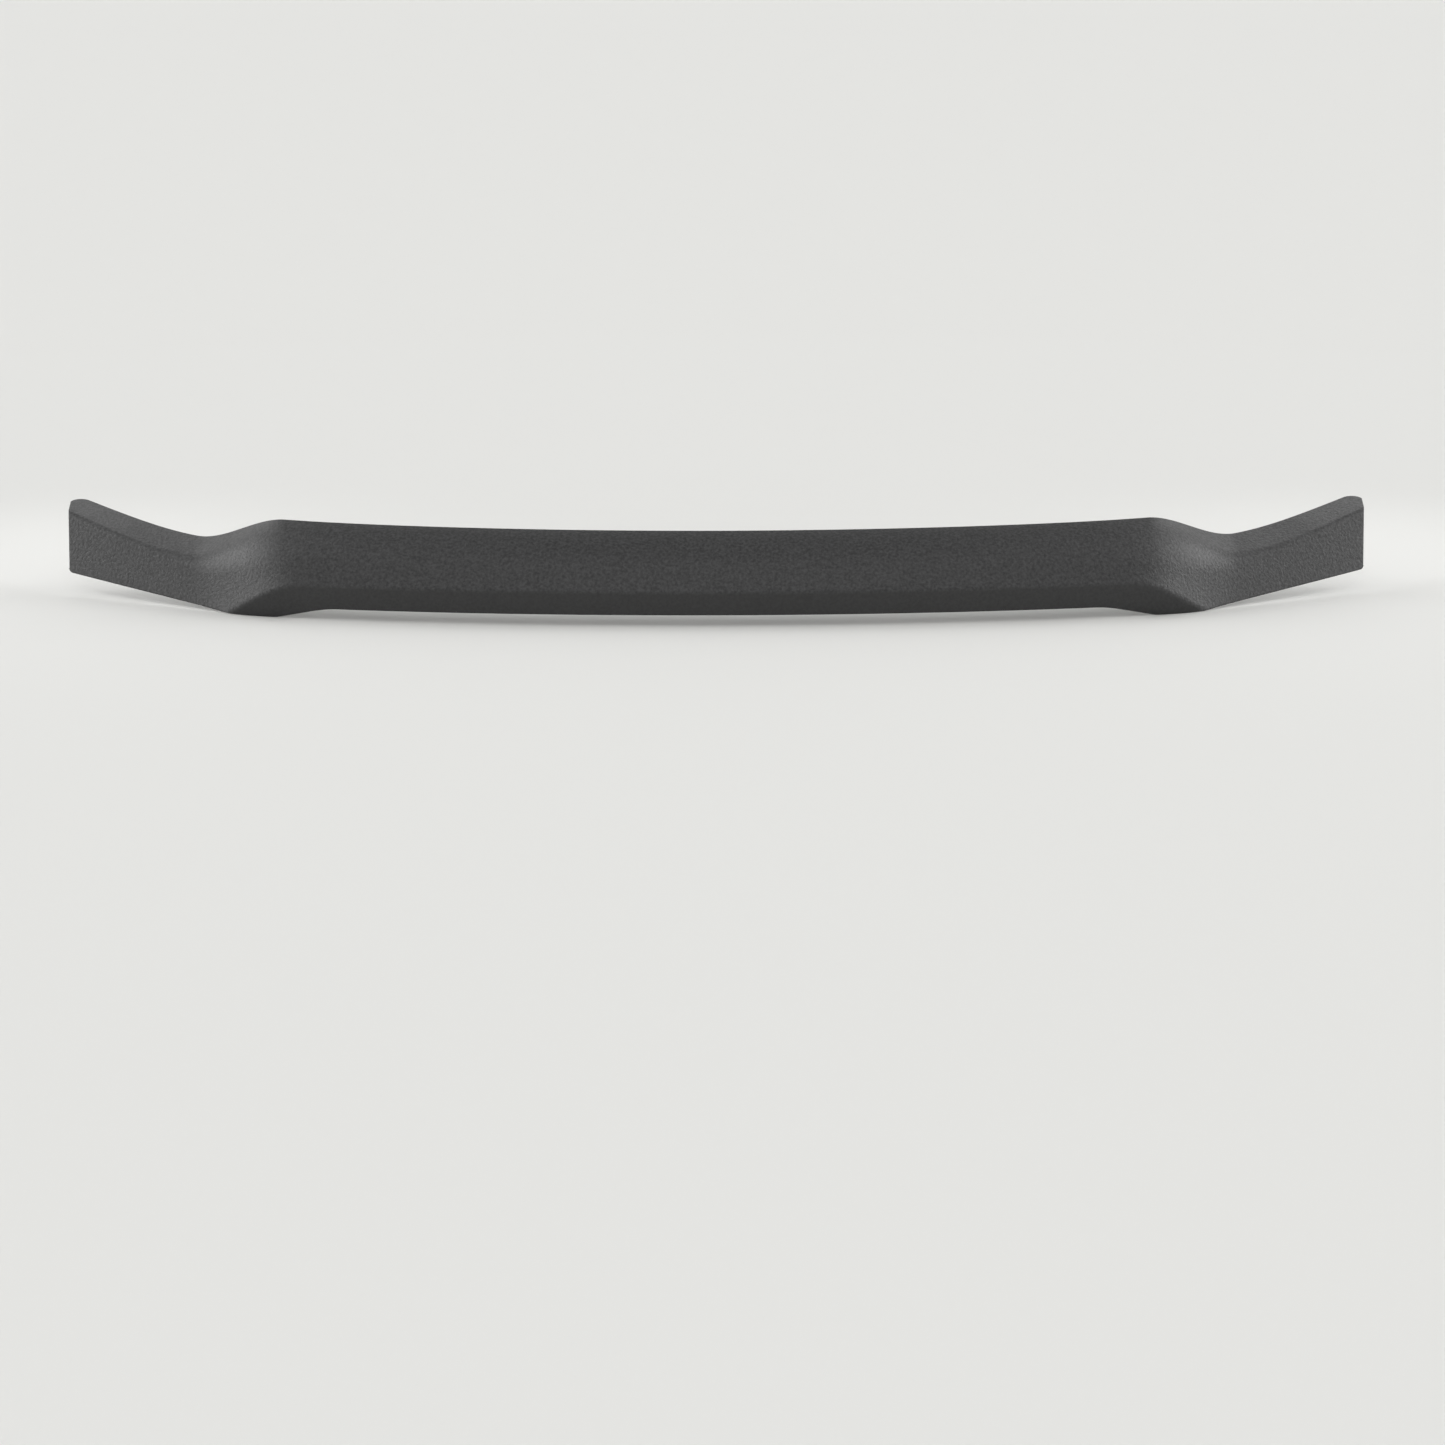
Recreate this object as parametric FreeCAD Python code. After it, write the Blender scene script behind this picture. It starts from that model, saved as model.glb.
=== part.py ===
import FreeCAD
import Part
import math
import os
from FreeCAD import Vector

# Hood bug deflector, stick-on kind: one moulded skin that wraps the front edge of a
# hood, with foam tape strips on its back. Millimetres, X across the hood, Y rearward,
# Z up. The left half mirrors the right one, so every rule below takes the distance
# from the centreline. Guide curves give the brow, crease and edges at any distance.
# Smooth faces are skinned over the sections drawn between them, and this blank is
# trimmed to the outline of the lower edge and the ends.

# Moulded skin
overall_width = 1680.0
wall = 3.0
blank_margin = 16.0         # blank below the trimmed lower edge
blank_end = 40.0            # and beyond each trimmed end

# Plan of the front, seen from above
plan_depth = 76.0           # lower edge to top edge, front to back
bow_radius = 3300.0         # gentle bow of the centre
sweep_reach = 255.0         # length of each end that sweeps rearward
sweep_slope = 0.39
sweep_softness = 70.0

# Centre section, with heights above the lower edge
nose_height = 30.5
chin_lean = 6.0             # the chin tucks under by this much at its lower edge
brow_setback = 32.0
brow_height = 81.2
top_height = 93.0
shoulder_rise = 3.5         # brow and top edge climb this much towards the flanks
brow_radius = 95.0
nose_radius = 5.0

# Dome flanks and valleys, placed by their reach in from the ends
nose_runout_reach = 324.0   # the crease leaves its level run here
nose_runout_width = 200.0
nose_runout_drop = 90.0     # it ends under the lower edge
valley_reach = 295.0
valley_width = 120.0
valley_drop_top = 34.5
valley_drop_brow = 45.6
valley_brow_radius = 40.0
flank_nose_radius = 14.0

# Wings
wing_rise_reach = 148.0
wing_rise_softness = 60.0
wing_slope_top = 0.25
wing_slope_ridge = 0.315
ridge_setback = 27.0
ridge_radius = 12.0
ridge_reach = 215.0         # the brow tightens into a ridge from here
ridge_blend = 120.0
wing_lean_deg = 20.0        # the front face leans back

# Lower edge and ends, seen from the front
notch_reach = 352.0
notch_slant = 64.0          # length of the slanted side of the notch
notch_depth = 14.0
notch_start_radius = 150.0
notch_end_radius = 50.0
wing_turn_reach = 236.0
wing_turn_radius = 250.0
wing_edge_rise = 26.5
end_lean = 5.0              # each end is this much narrower at its foot
top_corner_radius = 16.0
edge_crown_deg = 34.0       # turn across the crowned top edge
bottom_corner_radius = 4.0

# Number of section spans on each side of the centreline
centre_span_count = 5
flank_span_count = 11
wing_span_count = 7

# Foam tape on the back
tape_gap = 0.3              # adhesive film between the skin and the foam
tape_thickness = 1.1
tape_width = 12.0
tape_inset = 7.0            # from the trimmed edge to the tape
tape_break = 30.0           # gap between one strip and the next
tape_centre_half = 240.0    # half the length of the upper centre strip
tape_end_gap = 30.0         # from the outermost strips to the ends

half_width = overall_width / 2
sweep_start = half_width - sweep_reach
nose_runout_start = half_width - nose_runout_reach
valley_start = half_width - valley_reach
wing_rise_start = half_width - wing_rise_reach
ridge_start = half_width - ridge_reach
notch_start = half_width - notch_reach
notch_end = notch_start + notch_slant
wing_turn = half_width - wing_turn_reach


def smooth_step(distance, start, width):
    """0 before start, 1 after start + width, level at both ends."""
    share = min(max((distance - start) / width, 0.0), 1.0)
    return share * share * (3.0 - 2.0 * share)


def soft_ramp(distance, start, softness):
    """0 on the centreline, then a slope of 1 past start, with a rounded turn."""
    def raw(value):
        return 0.5 * (value - start + math.hypot(value - start, softness))
    return raw(distance) - raw(0.0)


def front_plan(distance):
    """How far the front lies behind the nose."""
    bow = bow_radius - math.sqrt(bow_radius ** 2 - distance ** 2)
    return bow + sweep_slope * soft_ramp(distance, sweep_start, sweep_softness)


def valley_share(distance):
    return smooth_step(distance, valley_start, valley_width)


def crown_height(distance, centre_height, valley_drop, wing_slope):
    """Height of a line along the skin: dome, flank, valley and wing."""
    shoulder = shoulder_rise * min(distance / valley_start, 1.0) ** 2
    wing = wing_slope * soft_ramp(distance, wing_rise_start, wing_rise_softness)
    return centre_height + shoulder - valley_drop * valley_share(distance) + wing


def top_guide(distance):
    """Top edge, as (Y, Z)."""
    height = crown_height(distance, top_height, valley_drop_top, wing_slope_top)
    return front_plan(distance) + plan_depth, height


def brow_guide(distance):
    """Soft brow of the dome, which becomes the ridge of the wing."""
    setback = brow_setback + (ridge_setback - brow_setback) * valley_share(distance)
    height = crown_height(distance, brow_height, valley_drop_brow, wing_slope_ridge)
    return front_plan(distance) + setback, height


def nose_guide(distance):
    """Crease of the nose. It runs out under the lower edge in the wings."""
    front = front_plan(distance)
    brow_y, brow_z = brow_guide(distance)
    dropped = smooth_step(distance, nose_runout_start, nose_runout_width)
    height = nose_height - nose_runout_drop * dropped
    wing_y = brow_y - (brow_z - height) * math.tan(math.radians(wing_lean_deg))
    return front + (wing_y - front) * valley_share(distance), height


def chin_guide(distance):
    """Lower end of the blank, past the trimmed lower edge."""
    nose_y, nose_z = nose_guide(distance)
    reach = nose_height + notch_depth + blank_margin
    return nose_y + reach * chin_lean / nose_height, nose_z - reach


def section_corners(x, depth):
    """Corners of the section at x, on the surface that lies depth under the face.

    The depth is measured square to the surface, so it is larger in the section
    where the skin is swept or climbs along X.
    """
    guides = (top_guide, brow_guide, nose_guide, chin_guide)
    step = 0.5
    here = [Vector(x, *guide(abs(x))) for guide in guides]
    ahead = [Vector(x + step, *guide(abs(x + step))) for guide in guides]
    behind = [Vector(x - step, *guide(abs(x - step))) for guide in guides]
    lines = []
    for i in range(len(guides) - 1):
        down = (here[i + 1] - here[i]).normalize()
        along = ahead[i] + ahead[i + 1] - behind[i] - behind[i + 1]
        normal = along.cross(down).normalize()
        inward = Vector(0, -down.z, down.y)
        share = math.sqrt(1.0 - normal.x ** 2)
        lines.append((here[i] + inward * (depth / share), down))
    corners = [lines[0][0]]
    for (start_a, along_a), (start_b, along_b) in zip(lines, lines[1:]):
        between = start_b - start_a
        cross = along_a.y * along_b.z - along_a.z * along_b.y
        run = (between.y * along_b.z - between.z * along_b.y) / cross
        corners.append(start_a + along_a * run)
    last_start, last_along = lines[-1]
    corners.append(last_start + last_along * (here[-1] - here[-2]).Length)
    return corners


def rounded_corner(before, corner, after, radius):
    """Tangent points of a corner's arc, and its turn in radians."""
    into = (corner - before).normalize()
    out = (after - corner).normalize()
    turn = into.getAngle(out)
    tangent = radius * math.tan(turn / 2)
    return corner - into * tangent, corner + out * tangent, into, out, turn


def rounded_chain(corners, radii):
    """Lines and arcs through the corners, as edges."""
    edges = []
    start = corners[0]
    for before, corner, after, radius in zip(corners, corners[1:], corners[2:], radii):
        first, last, into, out, turn = rounded_corner(before, corner, after, radius)
        rise = radius * (1.0 / math.cos(turn / 2) - 1.0)
        apex = corner + (out - into).normalize() * rise
        edges.append(Part.LineSegment(start, first).toShape())
        edges.append(Part.Arc(first, apex, last).toShape())
        start = last
    edges.append(Part.LineSegment(start, corners[-1]).toShape())
    return edges


def section_radii(x, depth):
    """Outside radii of brow and crease, less the depth."""
    distance = abs(x)
    brow = brow_radius + (valley_brow_radius - brow_radius) * valley_share(distance)
    tight = smooth_step(distance, ridge_start, ridge_blend)
    brow += (ridge_radius - valley_brow_radius) * tight
    softened = smooth_step(distance, nose_runout_start, nose_runout_width)
    nose = nose_radius + (flank_nose_radius - nose_radius) * softened
    return brow - depth, max(nose - depth, 1.0)


def arc_handle(radius, turn):
    """Length of the cubic's handles that draw an arc."""
    return 4.0 / 3.0 * math.tan(turn / 4) * radius


def chain_poles(corners, radii):
    """Poles of the same lines and arcs: two for a line and four for an arc."""
    pieces = []
    start = corners[0]
    for before, corner, after, radius in zip(corners, corners[1:], corners[2:], radii):
        first, last, into, out, turn = rounded_corner(before, corner, after, radius)
        handle = arc_handle(radius, turn)
        pieces.append([start, first])
        pieces.append([first, first + into * handle, last - out * handle, last])
        start = last
    pieces.append([start, corners[-1]])
    return pieces


def crowned_edge(start, end, outward):
    """Shallow arc from start to end, square to outward at its middle."""
    turn = math.radians(edge_crown_deg)
    across = end - start
    radius = across.Length / 2 / math.sin(turn / 2)
    handle = arc_handle(radius, turn)
    rise = outward.normalize() * math.sin(turn / 2) * handle
    run = across.normalize() * math.cos(turn / 2) * handle
    return [start, start + run + rise, end - run + rise, end]


def section_poles(x, face_depth, back_depth):
    """Closed section between two depths under the face, with a crowned top edge."""
    face_corners = section_corners(x, face_depth)
    back_corners = section_corners(x, back_depth)
    face = chain_poles(face_corners, section_radii(x, face_depth))
    back = chain_poles(back_corners, section_radii(x, back_depth))
    foot = [face_corners[-1], back_corners[-1]]
    head = crowned_edge(back_corners[0], face_corners[0], face_corners[0] - face_corners[1])
    back_up = [list(reversed(piece)) for piece in reversed(back)]
    return face + [foot] + back_up + [head]


def stations():
    """Section places from one end to the other, closer together in the flanks."""
    flank_start = notch_start - blank_margin
    flank_end = nose_runout_start + nose_runout_width
    outer = half_width + blank_end
    stretches = (
        (0.0, flank_start, centre_span_count),
        (flank_start, flank_end, flank_span_count),
        (flank_end, outer, wing_span_count),
    )
    right = []
    for start, end, spans in stretches:
        right += [start + (end - start) * i / spans for i in range(spans)]
    right.append(outer)
    return [-x for x in reversed(right[1:])] + right


def skinned_face(sections, places):
    """Smooth surface through the same piece of every section."""
    rows = []
    for row in zip(*sections):
        curve = Part.BSplineCurve()
        curve.interpolate(Points=list(row), Parameters=places)
        rows.append(curve)
    along = rows[0]
    degree = len(rows) - 1
    surface = Part.BSplineSurface()
    surface.buildFromPolesMultsKnots(
        [curve.getPoles() for curve in rows],
        [degree + 1, degree + 1],
        along.getMultiplicities(),
        [0.0, 1.0],
        along.getKnots(),
        False,
        False,
        degree,
        along.Degree,
    )
    return surface.toShape()


def end_cap(pieces):
    edges = []
    for poles in pieces:
        curve = Part.BezierCurve()
        curve.setPoles(poles)
        edges.append(curve.toShape())
    return Part.Face(Part.Wire(edges))


def blank(face_depth, back_depth):
    """Solid between two depths under the face, over all stations."""
    places = stations()
    sections = [section_poles(x, face_depth, back_depth) for x in places]
    faces = [skinned_face(pieces, places) for pieces in zip(*sections)]
    faces += [end_cap(sections[0]), end_cap(sections[-1])]
    shell = Part.Shell(faces)
    shell.sewShape()
    solid = Part.Solid(shell.Shells[0])
    if solid.Volume < 0:
        solid.reverse()
    return solid


def prism(edges, direction):
    """Solid from a flat closed outline, pushed along a direction."""
    return Part.Face(Part.Wire(edges)).extrude(direction)


def height_span():
    """Heights that clear the whole blank, below and above."""
    low = chin_guide(half_width)[1] - blank_margin
    high = max(top_guide(x)[1] for x in stations() if x >= 0.0) + blank_margin
    return low, high


def front_outline():
    """Trimming solid: the outline of the lower edge and the ends, along Y."""
    high = height_span()[1]
    end_foot = wing_edge_rise - notch_depth
    right = [
        (notch_start, 0.0, notch_start_radius),
        (notch_end, -notch_depth, notch_end_radius),
        (wing_turn, -notch_depth, wing_turn_radius),
        (half_width - end_lean, end_foot, bottom_corner_radius),
        (half_width, high, 0.0),
    ]
    left = [(-x, z, radius) for x, z, radius in reversed(right)]
    path = left + right
    corners = [Vector(x, -blank_margin, z) for x, z, radius in path]
    radii = [radius for x, z, radius in path[1:-1]]
    edges = rounded_chain(corners, radii)
    edges.append(Part.LineSegment(corners[-1], corners[0]).toShape())
    depth = top_guide(half_width)[0] + 2 * blank_margin
    return prism(edges, Vector(0, depth, 0))


def top_corner(side):
    """Solid that rounds a top corner in plan. Side is 1 or -1."""
    head = section_poles(half_width, 0.0, wall)[-1]
    tip_y, tip_z = top_guide(half_width)
    rim = max(pole.y for pole in head) - tip_y
    inner_y = top_guide(half_width - top_corner_radius)[0]
    tip = Vector(half_width, tip_y + rim, tip_z - 2 * blank_margin)
    along = Vector(top_corner_radius, tip_y - inner_y, 0).normalize()
    across = Vector(0, -1, 0)
    interior = (-along).getAngle(across)
    tangent = top_corner_radius / math.tan(interior / 2)
    first = tip - along * tangent
    last = tip + across * tangent
    middle = (across - along).normalize()
    apex = tip + middle * top_corner_radius * (1 / math.sin(interior / 2) - 1)
    spare = -middle * blank_margin
    points = [last, last + spare, tip + spare, first + spare, first]
    points = [Vector(side * p.x, p.y, p.z) for p in points]
    apex.x *= side
    edges = [Part.LineSegment(a, b).toShape() for a, b in zip(points, points[1:])]
    edges.append(Part.Arc(points[-1], apex, points[0]).toShape())
    return prism(edges, Vector(0, 0, 4 * blank_margin))


def deflector_skin():
    skin = blank(0.0, wall).common(front_outline())
    return skin.cut([top_corner(1), top_corner(-1)]).Solids[0]


def top_inset(x, inset):
    """Point in plan that lies an inset ahead of the top edge."""
    step = 0.5
    rise = top_guide(abs(x + step))[0] - top_guide(abs(x - step))[0]
    forward = Vector(rise, -2 * step, 0).normalize()
    return Vector(x, top_guide(abs(x))[0], 0) + forward * inset


def upper_ribbon(x_from, x_to):
    """Prism over the tape strip that follows the top edge."""
    count = 8
    places = [x_from + (x_to - x_from) * i / count for i in range(count + 1)]
    low, high = height_span()
    foot = Vector(0, 0, low)
    near = [top_inset(x, tape_inset) + foot for x in places]
    far = [top_inset(x, tape_inset + tape_width) + foot for x in reversed(places)]
    edges = []
    for points in (near, far):
        curve = Part.BSplineCurve()
        curve.interpolate(points)
        edges.append(curve.toShape())
    edges.insert(1, Part.LineSegment(near[-1], far[0]).toShape())
    edges.append(Part.LineSegment(far[-1], near[0]).toShape())
    return prism(edges, Vector(0, 0, high - low))


def lower_line(distance):
    """Height of the lower edge, before its turns are rounded."""
    if distance < notch_start:
        return 0.0
    if distance < wing_turn:
        share = min((distance - notch_start) / (notch_end - notch_start), 1.0)
        return -notch_depth * share
    run = half_width - end_lean - wing_turn
    return wing_edge_rise * (distance - wing_turn) / run - notch_depth


def lower_ribbon(x_from, x_to):
    """Prism over the tape strip that follows a straight run of the lower edge."""
    corners = []
    for x, inset in ((x_from, tape_inset), (x_to, tape_inset),
                     (x_to, tape_inset + tape_width), (x_from, tape_inset + tape_width)):
        corners.append(Vector(x, -blank_margin, lower_line(abs(x)) + inset))
    corners.append(corners[0])
    edges = [Part.LineSegment(a, b).toShape() for a, b in zip(corners, corners[1:])]
    return prism(edges, Vector(0, top_guide(half_width)[0] + blank_margin, 0))


def tape_strips():
    """Foam tape, an adhesive film away from the back of the skin."""
    seat = wall + tape_gap
    layer = blank(seat, seat + tape_thickness)
    valley_end = valley_start + valley_width
    end = half_width - tape_end_gap
    shoulder = (tape_centre_half + tape_break, valley_start - tape_break / 2)
    upper_wing = (valley_end + tape_break, end)
    lower = (tape_break / 2, notch_start - tape_break)
    lower_wing = (wing_turn + tape_break, end)
    strips = {"tape_upper_centre": upper_ribbon(-tape_centre_half, tape_centre_half)}
    for name, side in (("left", -1), ("right", 1)):
        for label, ribbon, (inner, outer) in (
            ("tape_upper_", upper_ribbon, shoulder),
            ("tape_upper_wing_", upper_ribbon, upper_wing),
            ("tape_lower_", lower_ribbon, lower),
            ("tape_lower_wing_", lower_ribbon, lower_wing),
        ):
            ends = sorted((side * inner, side * outer))
            strips[label + name] = ribbon(*ends)
    return {name: layer.common(region).Solids[0] for name, region in strips.items()}


def bonding_point(x, y):
    """Point of the tape's bonding face at a place in plan."""
    low, high = height_span()
    depth = wall + tape_gap + tape_thickness
    corners = section_corners(x, depth)
    chain = Part.Wire(rounded_chain(corners, section_radii(x, depth)))
    plumb = Part.LineSegment(Vector(x, y, low), Vector(x, y, high)).toShape()
    return chain.distToShape(plumb)[1][0][0]


if __name__ == "__main__":
    os.makedirs("parts", exist_ok=True)
    centre_y = top_guide(0.0)[0] - tape_inset - tape_width / 2
    origin = bonding_point(0.0, centre_y)
    shapes = {"deflector_skin": deflector_skin()}
    shapes.update(tape_strips())
    for name, shape in shapes.items():
        shape.translate(-origin)
        shape.exportStep("parts/" + name + ".step")
        print(name, round(shape.Volume), "mm3,", len(shape.Faces), "faces,", shape.BoundBox)
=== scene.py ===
import math

import bpy
from bpy.props import FloatProperty, FloatVectorProperty, IntProperty, PointerProperty
from mathutils import Matrix, Vector


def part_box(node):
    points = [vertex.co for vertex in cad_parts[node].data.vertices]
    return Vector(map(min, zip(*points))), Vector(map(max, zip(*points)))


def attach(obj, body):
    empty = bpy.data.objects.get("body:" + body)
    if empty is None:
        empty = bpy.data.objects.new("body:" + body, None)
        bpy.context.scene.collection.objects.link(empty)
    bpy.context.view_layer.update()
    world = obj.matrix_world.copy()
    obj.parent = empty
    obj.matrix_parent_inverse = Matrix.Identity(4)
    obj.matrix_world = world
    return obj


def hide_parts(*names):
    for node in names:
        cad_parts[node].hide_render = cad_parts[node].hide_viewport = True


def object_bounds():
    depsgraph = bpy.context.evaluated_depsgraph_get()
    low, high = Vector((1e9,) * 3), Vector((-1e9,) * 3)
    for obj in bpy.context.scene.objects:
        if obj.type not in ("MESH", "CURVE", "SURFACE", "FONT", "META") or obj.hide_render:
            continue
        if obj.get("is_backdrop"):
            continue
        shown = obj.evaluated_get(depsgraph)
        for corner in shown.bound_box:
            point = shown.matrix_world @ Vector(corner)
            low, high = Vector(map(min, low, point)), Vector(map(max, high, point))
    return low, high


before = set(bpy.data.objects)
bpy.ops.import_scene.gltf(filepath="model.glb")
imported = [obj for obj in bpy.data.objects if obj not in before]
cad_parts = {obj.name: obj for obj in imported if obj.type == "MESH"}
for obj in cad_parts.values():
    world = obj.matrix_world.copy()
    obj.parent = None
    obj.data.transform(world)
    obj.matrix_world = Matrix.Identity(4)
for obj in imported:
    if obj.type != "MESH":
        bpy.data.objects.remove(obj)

bl_info = {
    "name": "Hood Deflector",
    "version": (1, 0, 0),
    "blender": (4, 5, 0),
    "location": "View3D > Sidebar > Hood Deflector",
    "description": "Stick-on hood deflector: moulded skin, foam tape and a plain studio",
    "category": "Add Mesh",
}

BODY = "root"
SKIN = "deflector_skin"
TAPES = sorted(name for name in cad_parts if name.startswith("tape_"))

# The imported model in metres. X runs across the hood, Y rearward and Z up.
skin_low, skin_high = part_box(SKIN)
whole_low, whole_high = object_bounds()

SEAM = 0.00001    # rims of the face and back sheets that meet within this become one


def linear(hex_colour):
    """sRGB hex to the linear colour that the shaders take."""
    channels = [int(hex_colour[i:i + 2], 16) / 255 for i in (1, 3, 5)]
    return tuple(c / 12.92 if c <= 0.04045 else ((c + 0.055) / 1.055) ** 2.4 for c in channels)


class SkinSizes(bpy.types.PropertyGroup):
    """Sizes of the moulded skin. Heights are above the lower edge at the centre."""
    half_width: FloatProperty(
        name="Half Width", description="Centreline to the end, at the top edge",
        default=skin_high.x, unit="LENGTH")
    end_lean: FloatProperty(
        name="End Lean", description="How much narrower each end is at its foot",
        default=0.0038, unit="LENGTH")
    wall: FloatProperty(
        name="Wall", description="Thickness of the moulding", default=0.003, unit="LENGTH")
    plan_depth: FloatProperty(
        name="Plan Depth", description="Crease to top edge, front to back",
        default=0.076, unit="LENGTH")
    bow_radius: FloatProperty(
        name="Bow Radius", description="Gentle bow of the centre, seen from above",
        default=3.3, unit="LENGTH")
    sweep_start: FloatProperty(
        name="Sweep Start", description="Distance out at which the wings turn rearward",
        default=0.585, unit="LENGTH")
    sweep_slope: FloatProperty(
        name="Sweep Slope", description="How steeply the wings run rearward", default=0.39)
    sweep_softness: FloatProperty(
        name="Sweep Softness", description="Length of the turn into the wings",
        default=0.07, unit="LENGTH")
    nose_height: FloatProperty(
        name="Nose Height", description="Height of the crease", default=0.0305, unit="LENGTH")
    chin_lean: FloatProperty(
        name="Chin Lean", description="How far the chin tucks under at its lower edge",
        default=0.006, unit="LENGTH")
    brow_setback: FloatProperty(
        name="Brow Setback", description="Crease to brow, front to back",
        default=0.032, unit="LENGTH")
    brow_height: FloatProperty(
        name="Brow Height", description="Height of the brow at the centre",
        default=0.0812, unit="LENGTH")
    top_height: FloatProperty(
        name="Top Height", description="Height of the top edge at the centre",
        default=0.093, unit="LENGTH")
    shoulder_rise: FloatProperty(
        name="Shoulder Rise", description="Climb of brow and top edge towards the flanks",
        default=0.0035, unit="LENGTH")
    brow_radius: FloatProperty(
        name="Brow Radius", description="Soft rounding of the brow",
        default=0.095, unit="LENGTH")
    nose_radius: FloatProperty(
        name="Nose Radius", description="Rounding of the crease", default=0.005, unit="LENGTH")
    runout_start: FloatProperty(
        name="Runout Start", description="Where the crease leaves its level run",
        default=0.516, unit="LENGTH")
    runout_width: FloatProperty(
        name="Runout Width", description="Length over which the crease runs out",
        default=0.2, unit="LENGTH")
    runout_drop: FloatProperty(
        name="Runout Drop", description="How far the crease line drops",
        default=0.09, unit="LENGTH")
    valley_start: FloatProperty(
        name="Valley Start", description="Where the dome starts to fall to the valley",
        default=0.545, unit="LENGTH")
    valley_width: FloatProperty(
        name="Valley Width", description="Length of that fall", default=0.12, unit="LENGTH")
    valley_drop_top: FloatProperty(
        name="Valley Drop at Top", description="Fall of the top edge into the valley",
        default=0.0345, unit="LENGTH")
    valley_drop_brow: FloatProperty(
        name="Valley Drop at Brow", description="Fall of the brow into the valley",
        default=0.0456, unit="LENGTH")
    valley_brow_radius: FloatProperty(
        name="Valley Brow Radius", description="Rounding of the brow in the valley",
        default=0.04, unit="LENGTH")
    flank_nose_radius: FloatProperty(
        name="Flank Nose Radius", description="Rounding of the crease where it runs out",
        default=0.014, unit="LENGTH")
    wing_rise_start: FloatProperty(
        name="Wing Rise Start", description="Where the wing starts to climb",
        default=0.692, unit="LENGTH")
    wing_rise_softness: FloatProperty(
        name="Wing Rise Softness", description="Length of the turn into that climb",
        default=0.06, unit="LENGTH")
    wing_slope_top: FloatProperty(
        name="Wing Slope at Top", description="Climb of the wing's top edge", default=0.25)
    wing_slope_ridge: FloatProperty(
        name="Wing Slope at Ridge", description="Climb of the wing's ridge", default=0.315)
    ridge_setback: FloatProperty(
        name="Ridge Setback", description="Front to ridge in the wings",
        default=0.027, unit="LENGTH")
    ridge_radius: FloatProperty(
        name="Ridge Radius", description="Rounding of the ridge", default=0.012, unit="LENGTH")
    ridge_start: FloatProperty(
        name="Ridge Start", description="Where the brow tightens into the ridge",
        default=0.625, unit="LENGTH")
    ridge_blend: FloatProperty(
        name="Ridge Blend", description="Length over which it tightens",
        default=0.12, unit="LENGTH")
    wing_lean: FloatProperty(
        name="Wing Lean", description="Lean of the wing's front face",
        default=math.radians(20), subtype="ANGLE")
    notch_start: FloatProperty(
        name="Notch Start", description="Where the lower edge starts to dip",
        default=0.488, unit="LENGTH")
    notch_end: FloatProperty(
        name="Notch End", description="Where the dip is done", default=0.552, unit="LENGTH")
    notch_depth: FloatProperty(
        name="Notch Depth", description="Depth of the dip", default=0.014, unit="LENGTH")
    notch_start_ease: FloatProperty(
        name="Notch Start Ease", description="Half the length of the bend into the dip",
        default=0.0162, unit="LENGTH")
    notch_end_ease: FloatProperty(
        name="Notch End Ease", description="Half the length of the bend out of the dip",
        default=0.0054, unit="LENGTH")
    wing_turn: FloatProperty(
        name="Wing Turn", description="Where the lower edge starts to climb",
        default=0.604, unit="LENGTH")
    wing_turn_ease: FloatProperty(
        name="Wing Turn Ease", description="Half the length of that bend",
        default=0.0143, unit="LENGTH")
    wing_edge_slope: FloatProperty(
        name="Wing Edge Slope", description="Climb of the wing's lower edge", default=0.1147)
    top_corner_width: FloatProperty(
        name="Top Corner Width", description="Length of the rounded top corner",
        default=0.0247, unit="LENGTH")
    top_corner_drop: FloatProperty(
        name="Top Corner Drop", description="Depth of the rounded top corner",
        default=0.0306, unit="LENGTH")
    top_corner_power: FloatProperty(
        name="Top Corner Power",
        description="2 rounds a square corner, and less fits a sharper one", default=1.68)
    top_corner_overrun: FloatProperty(
        name="Top Corner Overrun", description="Part of that curve that the end cuts off",
        default=0.0014, unit="LENGTH")
    foot_corner: FloatProperty(
        name="Foot Corner", description="Radius of the end's lower corner",
        default=0.004, unit="LENGTH")
    edge_squareness: FloatProperty(
        name="Edge Squareness", description="2 is a full round edge, and more is squarer",
        default=2.6, min=2.0)
    bond_setback: FloatProperty(
        name="Bond Setback", description="Crease to the bonding point at the frame's origin",
        default=0.063, unit="LENGTH")
    columns: IntProperty(
        name="Columns", description="Mesh columns from end to end", default=381)
    rows: IntProperty(
        name="Rows", description="Mesh rows from top edge to lower edge", default=69)
    rim_rows: IntProperty(
        name="Rim Rows", description="Rows across each rounded edge", default=4)
    end_density: FloatProperty(
        name="End Density", description="How much closer the columns stand at the ends",
        default=0.75, subtype="FACTOR")


class FinishSettings(bpy.types.PropertyGroup):
    """Colours and texture sizes."""
    skin_colour: FloatVectorProperty(
        name="Skin Colour", description="Black moulded plastic", subtype="COLOR",
        default=linear("#1F1F20"))
    # Lighter copy of the skin's plastic, painted on the grain's tips as glints
    glint_colour: FloatVectorProperty(
        name="Grain Colour", description="The same plastic on the tips of its grain",
        subtype="COLOR", default=linear("#3E3E3F"))
    grain_size: FloatProperty(
        name="Grain Size", description="Width at which one grain of the texture is drawn",
        default=0.0036, unit="LENGTH")
    grain_depth: FloatProperty(
        name="Grain Depth", description="Relief of the grain at that width",
        default=0.0007, unit="LENGTH")
    foam_colour: FloatVectorProperty(
        name="Foam Colour", description="Closed-cell foam of the tape", subtype="COLOR",
        default=linear("#2C2C2E"))
    foam_cell: FloatProperty(
        name="Foam Cell", description="Width of one cell of the foam",
        default=0.0009, unit="LENGTH")


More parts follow.
